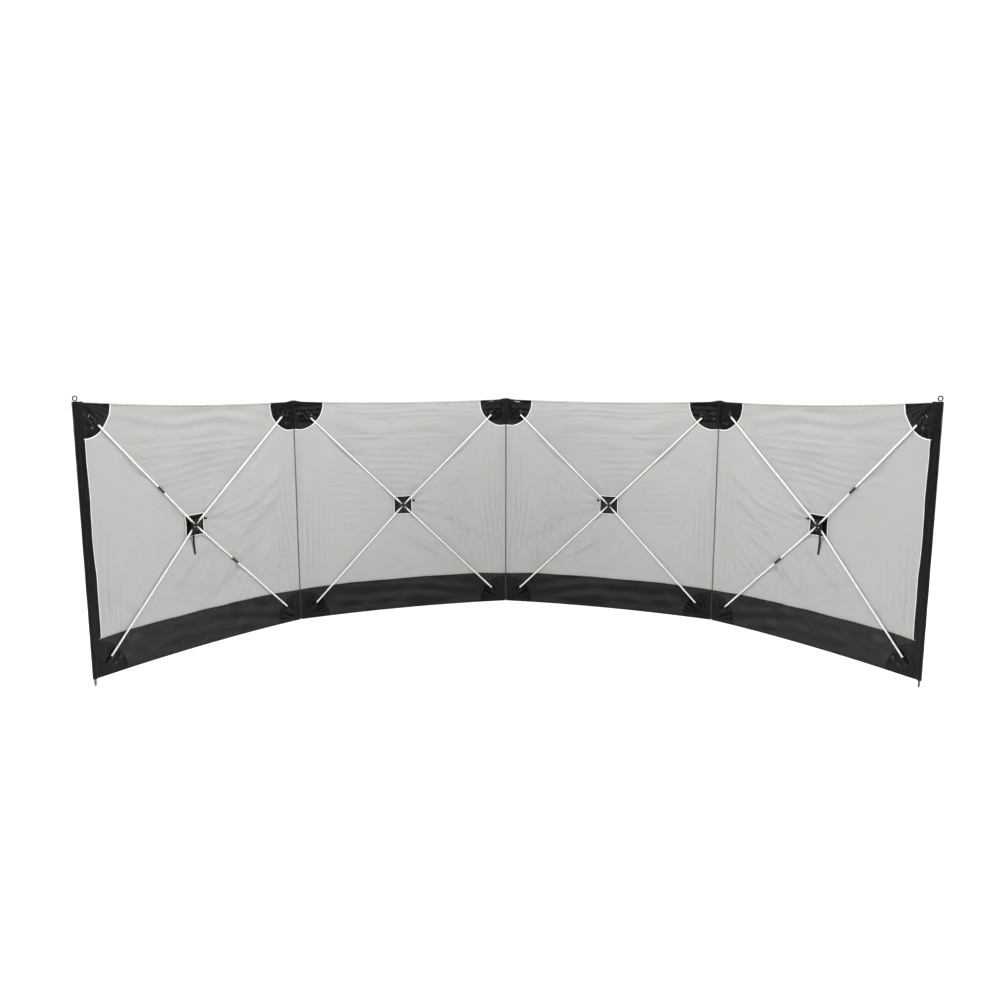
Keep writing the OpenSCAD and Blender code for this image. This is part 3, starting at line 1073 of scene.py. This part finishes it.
@dataclass(frozen=True)
class CornerPatches:
    """The four quarter-disc patches of a bay, with piping, stitches and the rods' pockets."""

    bay: Bay
    radius: float = 0.18
    inset: float = 0.0042
    thickness: float = 0.0012
    lift: float = 0.0014
    sleeve_inset: float = 0.036
    foot_lift: float = 0.0016
    pleating: float = 1.25
    stitch_rows: tuple[float, ...] = (0.008, 0.013)
    pocket_half: float = 0.027
    pocket_face: float = 0.0087
    pocket_thickness: float = 0.0011

    def is_outer(self, corner: tuple[int, int]) -> bool:
        """Whether a corner is on the side away from the middle of the arc."""
        return (corner[0] > 0) == self.bay.mirrored

    def raised(self, corner: tuple[int, int]) -> float:
        """How far a patch lies in front of the cloth: the skirt lies under a lower one."""
        return self.lift + (self.foot_lift if corner[1] < 0 else 0)

    def pleats(self, corner: tuple[int, int]) -> tuple[Pleat, ...]:
        """The pleats of a corner's patch.

        Args:
            corner: Signs of the corner.
        Returns:
            The pleats.
        """
        if corner[1] > 0:
            return TOP_PLEATS
        return FOOT_PLEATS if self.bay.is_end or not self.is_outer(corner) else CRUMPLED_PLEATS

    def spot(
        self, corner: tuple[int, int], reach: np.ndarray, turn: np.ndarray
    ) -> tuple[np.ndarray, np.ndarray]:
        """Places of a quarter disc: the corner + reach * (cos, sin) of the turn, inwards from it.

        Args:
            corner: Signs of the corner, left or right and bottom or top.
            reach: Distance from the corner.
            turn: Angle from the level edge, in radians.
        Returns:
            The bay's x and z.
        """
        inset = self.sleeve_inset if self.bay.is_end and self.is_outer(corner) else self.inset
        squeeze = (self.radius + self.inset - inset) / self.radius
        x = BAY / 2 + corner[0] * (BAY / 2 - inset - squeeze * reach * np.cos(turn))
        edge = self.bay.top(x) if corner[1] > 0 else self.bay.low(x)
        rise = np.sin(turn) * reach + self.inset * (0.6 if corner[1] > 0 else 0.1)
        return x, edge - corner[1] * rise

    def quarter(self, corner: tuple[int, int]) -> Shell:
        """One patch: a polar grid on the cloth, raised by its pleats.

        Each pleat stands out by height * exp(-((angle - its own) / width)^2), on a line that wanders
        a little, and fades towards the corner and the arc. The patch stays within 0.16 of the distance
        to the seam, so that it clears the next bay's patch when the seam is folded.

        Args:
            corner: Signs of the corner.
        Returns:
            The patch as a thin closed sheet.
        """
        reach = np.linspace(0.004, self.radius, 34)[:, None]
        turn = np.radians(np.linspace(0, 90, 96))[None, :]
        x, z = self.spot(corner, reach, turn)
        share = reach / self.radius
        strength = self.pleating * (0.6 if self.is_outer(corner) else 1.0)
        folds = 0
        for i, p in enumerate(self.pleats(corner)):
            bend = p.angle + 2.5 * np.sin(share * 4 + i + self.bay.number % 3)
            across = (np.degrees(turn) - bend) / p.width
            fade = np.clip((share - p.start) / 0.3, 0, 1) * np.clip((p.end + 0.05 - share) / 0.25, 0, 1)
            folds = folds + strength * p.height * fade * np.exp(-(across**2))
        y = self.bay.proud(x, z) - self.raised(corner) - folds
        y = np.maximum(y, -0.16 * self.bay.seam_distance(x))
        return self.bay.sheet(x, y, z, self.thickness)

    def arc(self, corner: tuple[int, int], reach: float, lift: float) -> np.ndarray:
        """Points along an arc of a patch, a little in front of the cloth."""
        turn = np.radians(np.linspace(0.8, 89.2, 40))
        return self.bay.on(*self.spot(corner, np.full_like(turn, reach), turn), lift)

    def pocket(self, corner: tuple[int, int]) -> Shell:
        """The pocket over a rod's tip: a ridge that follows the diagonal and runs out on the patch.

        With w the distance across, the ridge stands from the patch to 8.7 mm in front of the bay's
        plane by 1 / (1 + (w / 11 mm)^4), and eases to nothing past the tip.

        Args:
            corner: Signs of the corner.
        Returns:
            The pocket as a thin closed sheet.
        """
        bay, step = self.bay, 0.01
        along = np.linspace(ROD_TIP - 0.007, ROD_TIP + 0.072, 26)[:, None]
        across = np.linspace(-self.pocket_half, self.pocket_half, 31)[None, :]
        x0, z0 = bay.diagonal(corner, along)
        x1, z1 = bay.diagonal(corner, along + step)
        x, z = x0 + across * (z1 - z0) / step, z0 - across * (x1 - x0) / step
        base = bay.proud(x, z) - self.raised(corner) - 0.0004
        ease = smooth_step((ROD_TIP + 0.062 - along) / 0.05)
        ridge = 1 / (1 + np.abs(across / 0.011) ** 4)
        y = base - (base + self.pocket_face) * ridge * ease - 0.0004 * (1 - ridge)
        return bay.sheet(x, y, z, self.pocket_thickness)

    def build(self) -> None:
        """Make the patches, their piping, their stitches and the pockets."""
        bay, corners = self.bay, CORNERS.values()
        kinds = [PATCH_CLOTH if c[1] > 0 else FOOT_PATCH_CLOTH for c in corners]
        quarters = [self.quarter(c) for c in corners]
        patches = bay.add("corner_patch_sheets", quarters, kinds, "patch", "corner_patches")
        outline = oblong(0.0054, 0.0030, 0.0012)
        arcs = [sweep(self.arc(c, self.radius, 0.0018), outline, bay.outward) for c in corners if c[1] > 0]
        rows = [
            stitches(self.arc(c, self.radius - inset, 0.0017), bay.outward, 0.0060, 0.0042, 0.0006)
            for c in corners
            for inset in self.stitch_rows
        ]
        trim = [
            bay.add("patch_piping", arcs, PIPING, "patch"),
            bay.add("patch_stitches", rows, THREAD, "patch", smooth=False),
        ]
        pockets = [self.pocket(c) for c in corners]
        bay.add("rod_pockets", pockets, kinds, "patch", keep=POCKET_KEEP, anchor=POCKET_ANCHOR)


@dataclass(frozen=True)
class HubPatch:
    """The square patch that ties the hub to the cloth, with its piping, tab and pull strap."""

    bay: Bay
    half: float = 0.0622
    face: float = 0.0828
    thickness: float = 0.0014
    tab_start: float = 0.0575
    tab_length: float = 0.027
    tab_width: float = 0.013
    tab_rise: float = 0.028
    strap_length: float = 0.178
    strap_width: float = 0.013

    @property
    def body(self) -> str:
        """The CAD body of the hub."""
        return f"hub_{self.bay.number}"

    @property
    def inwards(self) -> int:
        """The sign of x towards the middle of the arc, where the tab points."""
        return -1 if self.bay.mirrored else 1

    def square(self, a: np.ndarray, b: np.ndarray, share: float = 1.0) -> tuple[np.ndarray, np.ndarray]:
        """Places of the patch, a square whose sides are drawn in a little between its corners.

        Args:
            a: Share of half the patch towards the side, from -1 to 1.
            b: Share of half the patch upwards.
            share: The size, as a share of the patch's.
        Returns:
            The bay's x and z.
        """
        across = self.half * a * (1 - 0.05 * (1 - b**2) * np.abs(a))
        up = self.half * b * (1 - 0.04 * (1 - a**2) * np.abs(b))
        return BAY / 2 + share * across, self.bay.middle + share * up

    def build(self) -> None:
        """Make the patch as a soft square grid that dips a little between its sewn edges."""
        bay, number = self.bay, self.bay.number
        a, b = np.meshgrid(np.linspace(-1, 1, 41), np.linspace(-1, 1, 41))
        pucker = 0.0006 * np.cos(11 * np.arctan2(b, a)) * np.clip(np.hypot(a, b) - 0.55, 0, 1)
        y = self.face + pucker - 0.0003 * (1 - a**2) * (1 - b**2)
        x, z = self.square(a, b)
        sheet = bay.sheet(x, y, z, self.thickness)
        name, node = f"hub_patch_sheet_{number}", f"hub_patch_{number}"
        patch = part(name, [sheet], PATCH_CLOTH, self.body, node)
        ra, rb = (np.concatenate([g[0], g[1:, -1], g[-1, -2::-1], g[-2:0:-1, 0]]) for g in (a, b))
        x, z = self.square(ra, rb)
        border = bay.place(x, np.full_like(x, self.face - 0.0012), z)
        cord = sweep(border, round_profile(0.0024, 8), bay.outward, closed=True)
        x, z = self.square(ra, rb, 0.9)
        row = bay.place(x, np.full_like(x, self.face - 0.0002), z)
        bits = stitches(row, bay.outward, 0.0055, 0.004, 0.0006)
        trim = [
            part(f"hub_piping_{number}", [cord], PIPING, self.body),
            part(f"hub_stitches_{number}", [bits], THREAD, self.body, smooth=False),
            part(f"hub_tab_{number}", [self.tab()], WEBBING, self.body),
        ]

    def tab(self) -> Shell:
        """The pointed tab beside the patch, folded from webbing along the cloth's slope.

        Returns:
            The tab as a closed strip.
        """
        bay = self.bay
        t = np.linspace(0, 1, 14)
        out = self.tab_start + self.tab_length * t
        x = BAY / 2 + self.inwards * out
        z = np.full_like(t, bay.middle + self.tab_rise)
        y = bay.proud(x, z, creased=False) - 0.0026 - 0.0012 * np.sin(math.pi * t)
        y = np.where(out < 0.064, self.face - 0.0006, y)
        wide = self.tab_width / 2 * np.clip((1.0 - t) / 0.45, 0.16, 1) ** 0.8
        profile = np.stack([oblong(2 * w, 0.0018, 0.0007) for w in wide])
        return sweep(bay.place(x, y, z), profile, bay.outward)

    def strap(self, side: Side) -> None:
        """Make the pull strap: flat webbing that hangs from the hub with a slight curve.

        Args:
            side: The end of the arc that the bay is at.
        """
        bay = self.bay
        t = np.linspace(0, 1, 40)
        x = BAY / 2 - self.inwards * (0.020 + 0.030 * t - 0.029 * t**2)
        z = bay.middle + (0.010 - self.strap_length * t * 0.985)
        path = bay.place(x, 0.0628 - 0.004 * t * (1 - t), z)
        webbing = sweep(path, oblong(self.strap_width, 0.0019, 0.0008), bay.outward)
        name = f"pull_strap_webbing_{side.label}"
        strap = part(name, [webbing], WEBBING, self.body, f"pull_strap_{side.label}")


@dataclass(frozen=True)
class Rods:
    """The CAD rods and hub of a bay, given their finishes, and the ferrules of the jointed rods."""

    bay: Bay
    ferrule_radius: float = 0.0057
    ferrule_length: float = 0.055

    def ferrules(self) -> tuple[tuple[str, float], ...]:
        """The rods that have a ferrule.

        Returns:
            The name of each rod's corner and the ferrule's distance from the hub.
        """
        if self.bay.mirrored:
            return ("top_right", 0.323), ("bottom_left", 0.343)
        return ("top_left", 0.323), ("bottom_right", 0.343)

    def point(self, corner: tuple[int, int], reach: np.ndarray) -> np.ndarray:
        """Points on a rod's centreline: along the diagonal, falling from the pivot to the tip."""
        x, z = self.bay.diagonal(corner, reach)
        return self.bay.place(x, rod_y(reach), z)

    def build(self) -> None:
        """Dress the CAD rods and the hub, and add the ferrules to an end bay's rods."""
        number = self.bay.number
        dress(f"hub_{number}", NYLON)
        for name in CORNERS:
            dress(f"rod_{number}_{name}", FIBREGLASS)
        along = np.array([0.0, 0.02, 0.06, 0.12, 0.5, 0.88, 0.94, 0.98, 1.0]) - 0.5
        swell = np.array([0.84, 0.93, 0.99, 0.955, 0.955, 0.955, 0.99, 0.93, 0.84])
        rings = np.stack([round_profile(self.ferrule_radius * s, 20) for s in swell])
        for name, reach in self.ferrules() if self.bay.is_end else ():
            path = self.point(CORNERS[name], reach + self.ferrule_length * along)
            tube = sweep(path, rings, self.bay.outward)
            part(f"ferrule_{number}_{name}", [tube], FERRULE, f"rod_{number}_{name}")


# ---------------------------------------------------------------- posts


@dataclass(frozen=True)
class Seam:
    """The bound seam between two bays: a welt with the tape's two rounded lips."""

    number: int
    radius: float = 0.0044
    cap: float = 0.178
    foot: float = 0.001
    peak: float = 0.0095

    def build(self) -> None:
        """Make the welt: a round cord with a shallow groove, a small peak at the top and a rounded end."""
        post = POSTS[self.number]
        t = np.linspace(0, 1, 150)
        z = self.foot + (BAY + self.peak - self.foot) * t
        path = np.stack([np.full_like(z, post[0]), np.full_like(z, post[1]), z], -1)
        turn = np.linspace(0, 2 * math.pi, 20, endpoint=False)
        groove = 1 - 0.16 * np.exp(-(((turn - 1.5 * math.pi) / 0.28) ** 2))
        ends = np.clip(np.minimum(t, 1 - t) / 0.004, 0, 1)
        swell = np.sqrt(1 - (1 - ends) ** 2) * 0.9 + 0.1
        wave = 1 + 0.03 * np.sin(z / 0.017) * np.sin(z / 0.11)
        radius = self.radius * groove[None, :] * (swell * wave)[:, None]
        profile = np.stack([radius * np.cos(turn), radius * np.sin(turn)], -1)
        hem, split = (int(i) for i in np.searchsorted(z, [SKIRT, BAY - self.cap]))
        stretches = [(0, hem + 1, 1.0), (hem, split + 1, 1.0), (split, len(z), 1.12)]
        north = np.array([0.0, 1.0, 0.0])
        lower, upper, cap = (sweep(path[a:b], profile[a:b] * wide, north) for a, b, wide in stretches)
        # The welt's lower stretch takes the darker tape, which is painted shade.
        body, kinds = "bay_3" if self.number == 3 else "bay_2", [SHADED_FOOT_BINDING, BINDING]
        part(f"seam_welt_{self.number}", [lower, upper], kinds, body, f"seam_cord_{self.number}")
        part(f"seam_cap_{self.number}", [cap], PATCH_CLOTH, body)


@dataclass(frozen=True)
class Sleeve:
    """The pole sleeve of one end, its strip along the cloth, its piping and its guy loop."""

    side: Side
    bay: Bay
    radius: float = 0.0114
    strip: float = 0.043
    flare: float = 0.008
    thickness: float = 0.0009
    rows: int = 190
    loop_radius: float = 0.0118
    loop_at: float = 0.005
    cord: float = 0.0058

    def across(self, x: np.ndarray) -> np.ndarray:
        """The bay's x for a distance from the pole."""
        return BAY - x if self.side is Side.RIGHT else x

    @property
    def start(self) -> float:
        """Height of the sleeve's lower end."""
        return float(self.bay.foot(self.across(np.array(0.0)))) + 0.0015

    def share(self, z: np.ndarray) -> np.ndarray:
        """Share of the way up the sleeve."""
        return (z - self.start) / (POST_TOP - self.start)

    def strip_edge(self, z: np.ndarray) -> np.ndarray:
        """Distance from the pole to the strip's edge, which is wider towards the foot."""
        return self.strip + self.flare * (1 - self.share(z)) ** 1.5

    def build(self) -> None:
        """Make the sleeve: a keyhole outline round the pole and along the strip, carried up the pole."""
        bay = self.bay
        z = np.linspace(self.start, POST_TOP, self.rows)[:, None]
        turn = np.radians(np.linspace(20, 340, 34))
        run = np.linspace(0.0135, 1, 9)[1:]
        x = np.concatenate([np.flip(run), self.radius * np.cos(turn), run])[None, :]
        half = np.repeat([1.0, 0.0, -1.0], [8, 34, 8])[None, :]
        tube_y = np.concatenate([np.zeros(8), self.radius * np.sin(turn), np.zeros(8)])[None, :]
        on_strip = half != 0
        width = self.strip_edge(z) - self.radius
        px = np.where(on_strip, self.radius + width * x, x)
        base = np.clip(bay.proud(self.across(px), np.minimum(z, 1.43)), 0, 1)
        follow = np.clip((px - self.radius) / width, 0, 1)
        puff = 0.0008 * np.sin(z / 0.023 + 3 * np.sin(z / 0.19)) * np.sin(z / 0.31)
        strip_y = base * follow + half * (self.thickness + 0.002 * (1 - follow) ** 3) - 0.0010 * follow
        py = np.where(on_strip, strip_y, tube_y)
        px = px + np.where(on_strip, 0, puff)
        py = py + np.where(on_strip, 0.5 * puff, puff * np.sign(py))
        rings = bay.place(self.across(px), py, z)
        columns = rings.shape[1]
        last = (self.rows - 1) * columns
        faces = grid_faces(self.rows, columns, wrap=True)
        faces += [list(range(columns))[::-1], list(range(last, last + columns))]
        flat = np.stack(np.broadcast_arrays(px, z), -1).reshape(-1, 2)
        tube = Shell(rings.reshape(-1, 3), faces, flat).outward()
        label = self.side.label
        part(f"pole_sleeve_{label}", [tube], SLEEVE_CLOTH, bay.body, f"sleeve_{label}")
        z = np.linspace(float(bay.line(self.across(np.array(0.04)))), BAY + LIFT - 0.186, 110)
        path = bay.on(self.across(self.strip_edge(z) + 0.0006), z, 0.0016)
        piping = sweep(path, oblong(0.0036, 0.0026, 0.001), bay.outward)
        part(f"sleeve_piping_{label}", [piping], PIPING, bay.body)
        self.guy_loop()

    def guy_loop(self) -> None:
        """Make the loop of cord on the pole: up out of the cap, round and back into it."""
        turn = np.radians(np.linspace(-62, 242, 40))
        x = self.loop_radius * np.cos(turn)
        z = POST_TOP + 0.0001 + self.cord / 2 + self.loop_radius + self.loop_radius * np.sin(turn)
        legs = float(z[0]) - np.array([0.0030, 0.0015])
        x = self.loop_at + np.concatenate([x[0] * np.array([0.72, 0.86]), x, x[-1] * np.array([0.86, 0.72])])
        z = np.concatenate([legs, z, legs[::-1]])
        y = 0.0016 * np.cos(np.linspace(0, math.pi, len(x)))
        path = self.bay.place(self.across(x), y, z)
        rope = sweep(path, round_profile(self.cord / 2, 14), self.bay.outward)
        label = self.side.label
        loop = part(f"guy_loop_cord_{label}", [rope], CORD, self.bay.body, f"guy_loop_{label}")


def dress(node: str, finish: Finish) -> None:
    """Give a CAD node its finish.

    Args:
        node: The node's name.
        finish: What it is made of.
    """
    obj = bpy.data.objects[node]
    obj.data.materials.clear()
    obj.data.materials.append(finish.material())


# ---------------------------------------------------------------- studio


@dataclass(frozen=True)
class Softbox:
    """A square studio light."""

    name: str
    place: tuple[float, float, float]
    aim: tuple[float, float, float]
    size: float
    watts: float

    def build(self) -> None:
        """Make the light and turn it to its aim."""
        data = bpy.data.lights.new(self.name, "AREA")
        data.shape, data.size, data.energy = "SQUARE", self.size, self.watts
        light = bpy.data.objects.new(self.name, data)
        bpy.context.scene.collection.objects.link(light)
        light.location = self.place
        run = np.array(self.aim) - np.array(self.place)
        yaw = math.atan2(-run[0], run[1])
        tilt = math.atan2(run[2], math.hypot(run[0], run[1])) + math.pi / 2
        light.rotation_euler = (tilt, 0.0, yaw)


@dataclass(frozen=True)
class Studio:
    """The camera, the pale floor, the white surroundings and the soft lights."""

    camera_at: tuple[float, float, float] = (-0.0118, -4.86708, 1.5871)
    lens: float = 30.168
    pitch: float = 8.7665
    yaw: float = 0.2814
    floor_z: float = -0.001
    softboxes: tuple[Softbox, ...] = field(
        default=(
            Softbox("softbox_left", (-4.3, -1.9, 1.5), (1.2, 0.3, 0.7), 0.55, 50),
            Softbox("softbox_right", (4.3, -1.9, 1.5), (-1.2, 0.3, 0.7), 0.55, 50),
            Softbox("key_left", (-1.3, -1.25, 3.35), (0.7, 0.5, 1.0), 0.5, 50),
            Softbox("key_right", (1.3, -1.25, 3.35), (-0.7, 0.5, 1.0), 0.5, 50),
            Softbox("softbox_back", (0.0, 3.2, 4.2), (0.0, 0.5, 0.3), 2.5, 70),
        )
    )

    def camera(self) -> None:
        """Make the camera and set it as the scene's own."""
        data = bpy.data.cameras.new("camera")
        data.lens, data.sensor_width = self.lens, 36.0
        camera = bpy.data.objects.new("camera", data)
        camera.location = self.camera_at
        camera.rotation_euler = (math.radians(90 - self.pitch), 0.0, math.radians(self.yaw))
        bpy.context.scene.collection.objects.link(camera)
        bpy.context.scene.camera = camera

    def build(self) -> None:
        """Make the floor, the surroundings and the lights."""
        reach = np.linspace(0.01, 60, 12)[:, None]
        turn = np.linspace(0, 2 * math.pi, 64, endpoint=False)[None, :]
        x, y = reach * np.cos(turn), reach * np.sin(turn)
        top = np.stack([x, y, np.full_like(x, self.floor_z)], -1)
        points = np.concatenate([top.reshape(-1, 3), [[0.0, 0.0, self.floor_z]]])
        middle = len(points) - 1
        faces = grid_faces(12, 64, wrap=True) + [[middle, i, (i + 1) % 64] for i in range(64)]
        floor = piece("studio_floor", [Shell(points, faces)], PAPER)
        scene = bpy.context.scene
        world = bpy.data.worlds.new("surroundings")
        world.use_nodes = True
        tree = world.node_tree
        place = add_node(tree, "ShaderNodeTexCoord")
        parts = add_node(tree, "ShaderNodeSeparateXYZ", {}, {0: place.outputs["Generated"]})
        # Dim on the side where people sit, bright behind the cloth.
        span = {0: parts.outputs[1], 1: -0.35, 2: 0.3, 3: 0.24, 4: 1.02}
        strength = add_node(tree, "ShaderNodeMapRange", {}, span)
        background = tree.nodes["Background"]
        tree.links.new(strength.outputs[0], background.inputs["Strength"])
        background.inputs["Color"].default_value = (1.0, 1.0, 1.0, 1.0)
        scene.world = world
        scene.view_settings.view_transform = "Standard"
        for softbox in self.softboxes:
            softbox.build()


def main() -> None:
    """Build the camera, the cords, the bays, the posts and the studio in order."""
    studio = Studio()
    studio.camera()
    bays = [Bay(k, 0.018 if k in (1, 4) else 0.013) for k in (1, 2, 3, 4)]
    for side in Side:
        HubPatch(bays[side.bay - 1]).strap(side)
        Sleeve(side, bays[side.bay - 1]).build()
        dress(f"end_pole_{side.label}", STEEL)
    for bay in bays:
        ClothPanel(bay).build()
        Skirt(bay).build()
        CornerPatches(bay).build()
        HubPatch(bay).build()
        Rods(bay).build()
        log.info("bay %d done", bay.number)
    for number in (1, 2, 3):
        Seam(number).build()
    studio.build()


if __name__ == "__main__":
    main()
